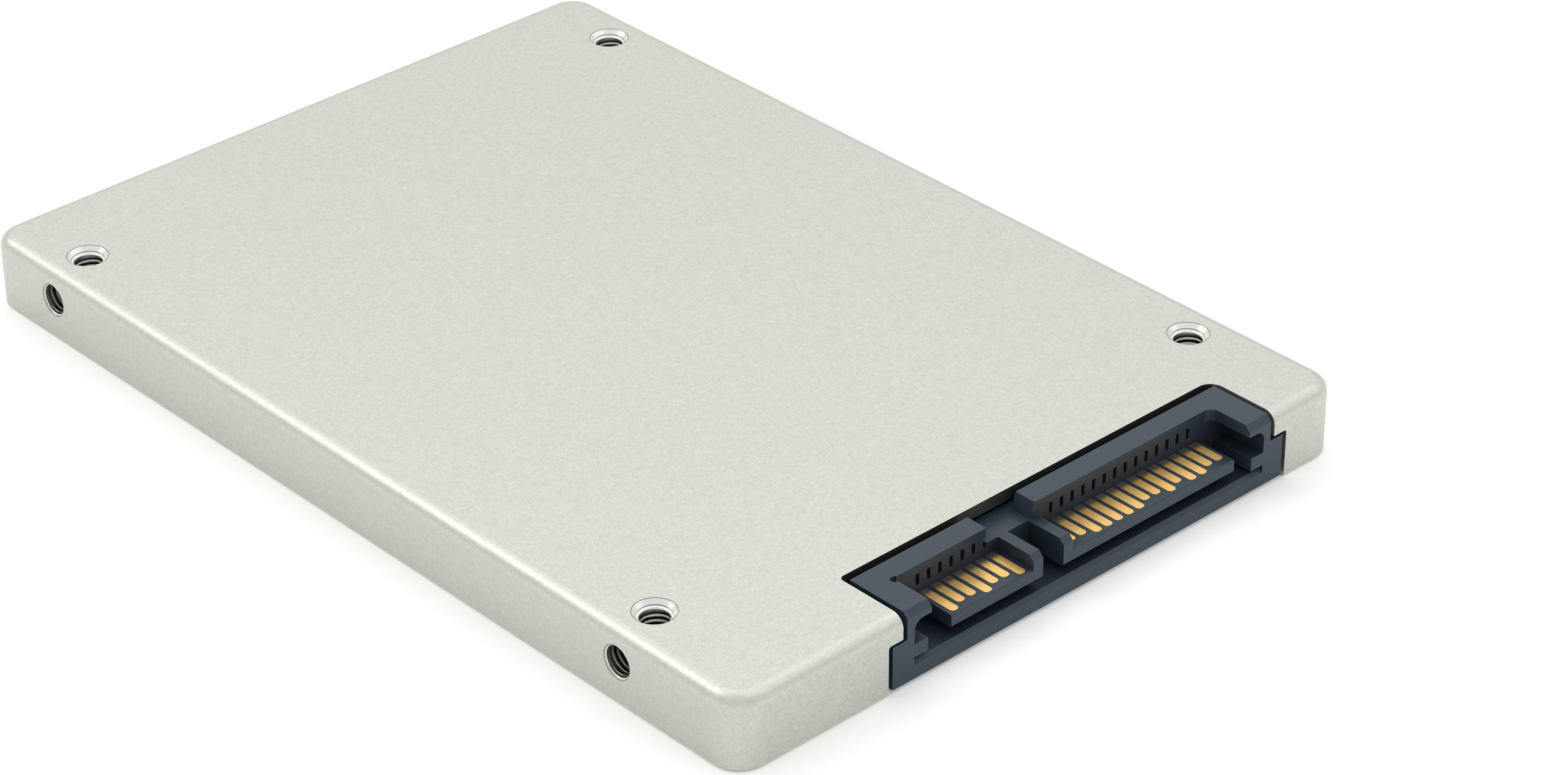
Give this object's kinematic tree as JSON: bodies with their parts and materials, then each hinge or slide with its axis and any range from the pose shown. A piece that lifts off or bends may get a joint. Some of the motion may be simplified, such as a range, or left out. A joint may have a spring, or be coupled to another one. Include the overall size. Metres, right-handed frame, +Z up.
{
  "type": "solid state drive",
  "caption": "Slim 2.5-inch solid state drive: metal shell with threaded mounting holes, screwed cover, and a combined data and power edge connector on a circuit board.",
  "frame": {"origin": "middle of the footprint, on the outer face of the cover (the bottom of the box)", "axes": "+Z up out of the mounting face, +Y along the length away from the connector, X across the width"},
  "size_m": [0.0698, 0.1004, 0.007],
  "materials": {
    "shell_metal": "fine bead-blasted, matt",
    "cover_metal": "fine bead-blasted sheet",
    "screw_steel": "plated",
    "connector_plastic": "moulded, slightly glossy",
    "contact_gold": "gold flash over nickel",
    "tinned_metal": "tin plated",
    "board_mask": "solder mask",
    "film": "polyester film",
    "thermal_pad": "soft silicone",
    "crystal_can": "plated lid",
    "tantalum_case": "moulded",
    "ceramic": "fired ceramic",
    "ferrite": "pressed ferrite",
    "resistor_body": "glazed",
    "chip_mould": "epoxy moulding compound"
  },
  "bodies": {
    "root": {"base_shell": "shell_metal", "board_locks": "tinned_metal", "board_screws": "screw_steel", "buffer_memory": "chip_mould", "ceramic_capacitors": "ceramic", "chip_resistors": "resistor_body", "circuit_board": "board_mask", "clock_crystal": "crystal_can", "connector_housing": "connector_plastic", "controller_chip": "chip_mould", "controller_thermal_pad": "thermal_pad", "cover_plate": "cover_metal", "cover_screws": "screw_steel", "firmware_memory": "chip_mould", "flash_package_1": "chip_mould", "flash_package_2": "chip_mould", "flash_package_3": "chip_mould", "flash_package_4": "chip_mould", "flash_package_5": "chip_mould", "flash_package_6": "chip_mould", "flash_package_7": "chip_mould", "flash_package_8": "chip_mould", "flash_thermal_pad_1": "thermal_pad", "flash_thermal_pad_2": "thermal_pad", "flash_thermal_pad_3": "thermal_pad", "flash_thermal_pad_4": "thermal_pad", "hold_up_capacitor_1": "tantalum_case", "hold_up_capacitor_2": "tantalum_case", "hold_up_capacitor_3": "tantalum_case", "hold_up_capacitor_4": "tantalum_case", "inductor_1": "ferrite", "inductor_2": "ferrite", "inductor_3": "ferrite", "input_fuse": "resistor_body", "insulating_film": "film", "power_chip": "chip_mould", "power_contacts": "contact_gold", "signal_contacts": "contact_gold", "surge_suppressor": "chip_mould"}
  },
  "joints": []
}
